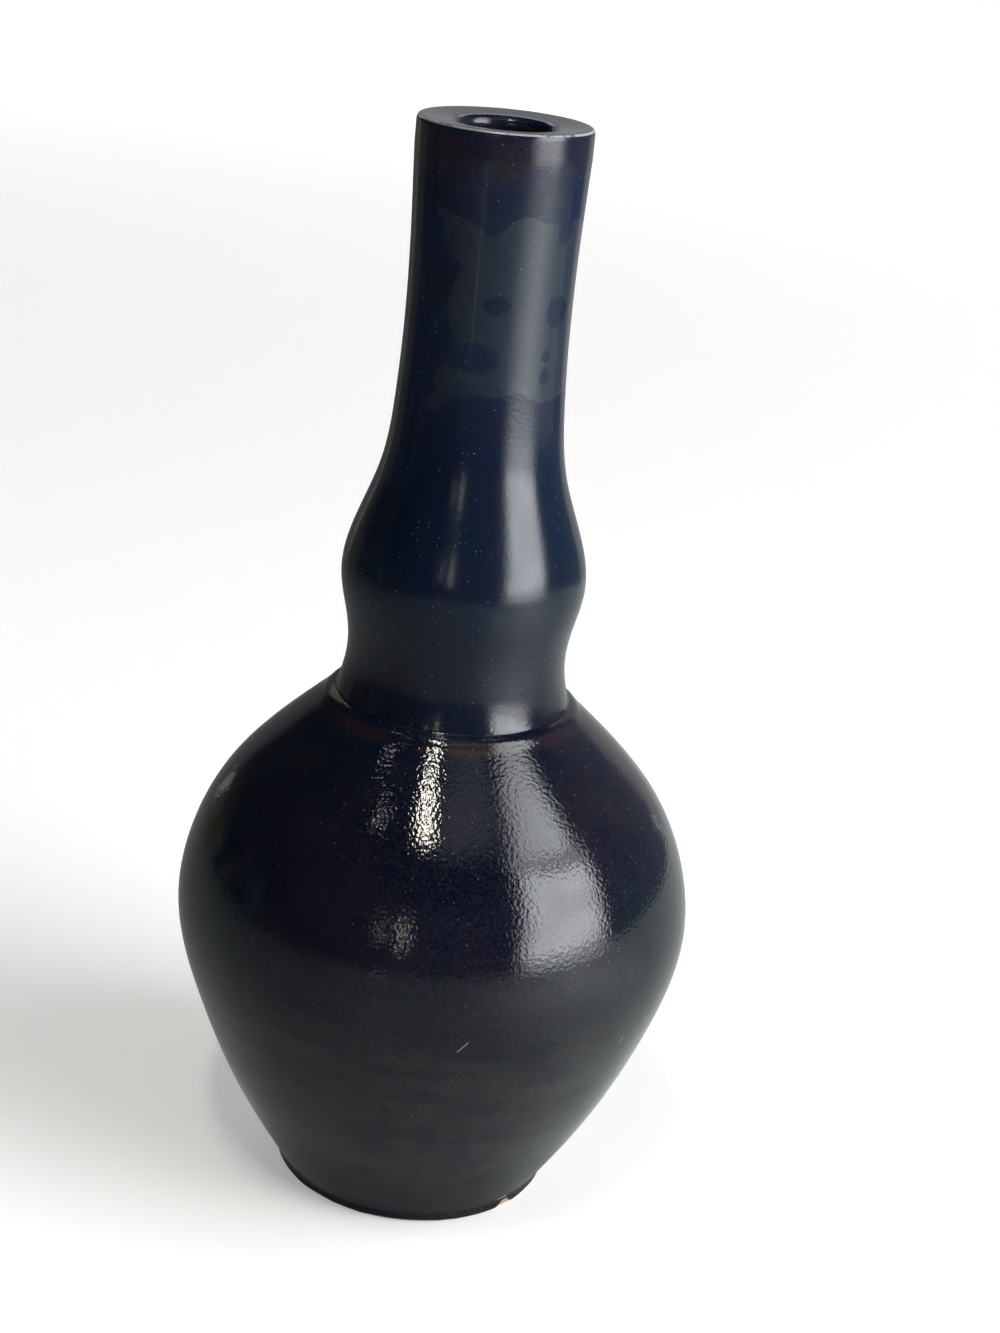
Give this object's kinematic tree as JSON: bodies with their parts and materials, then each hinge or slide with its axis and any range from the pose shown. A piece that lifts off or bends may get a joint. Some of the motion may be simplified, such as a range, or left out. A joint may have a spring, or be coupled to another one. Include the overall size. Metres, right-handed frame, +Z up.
{
  "type": "gourd vase",
  "caption": "Gourd-shaped bottle vase: round belly, small bulb at the collar, long neck with a thick lip, dark gloss glaze over stoneware.",
  "frame": {"origin": "centre of the circle that the foot ring stands on", "axes": "+Z up along the axis of revolution, through the mouth; +X to the right and +Y away from the viewer in the picture"},
  "size_m": [0.1144, 0.1144, 0.24],
  "materials": {
    "clay": "bare fired stoneware, matt",
    "outer_glaze": "glossy near-black blue glaze that breaks brown at edges, with satin bloom on the neck",
    "liner_glaze": "glossy near-black blue liner glaze"
  },
  "bodies": {
    "root": {"lower_body": "clay", "neck_section": "clay", "seam_coil": "clay", "outer_glaze": "outer_glaze", "liner_glaze": "liner_glaze"}
  },
  "joints": []
}
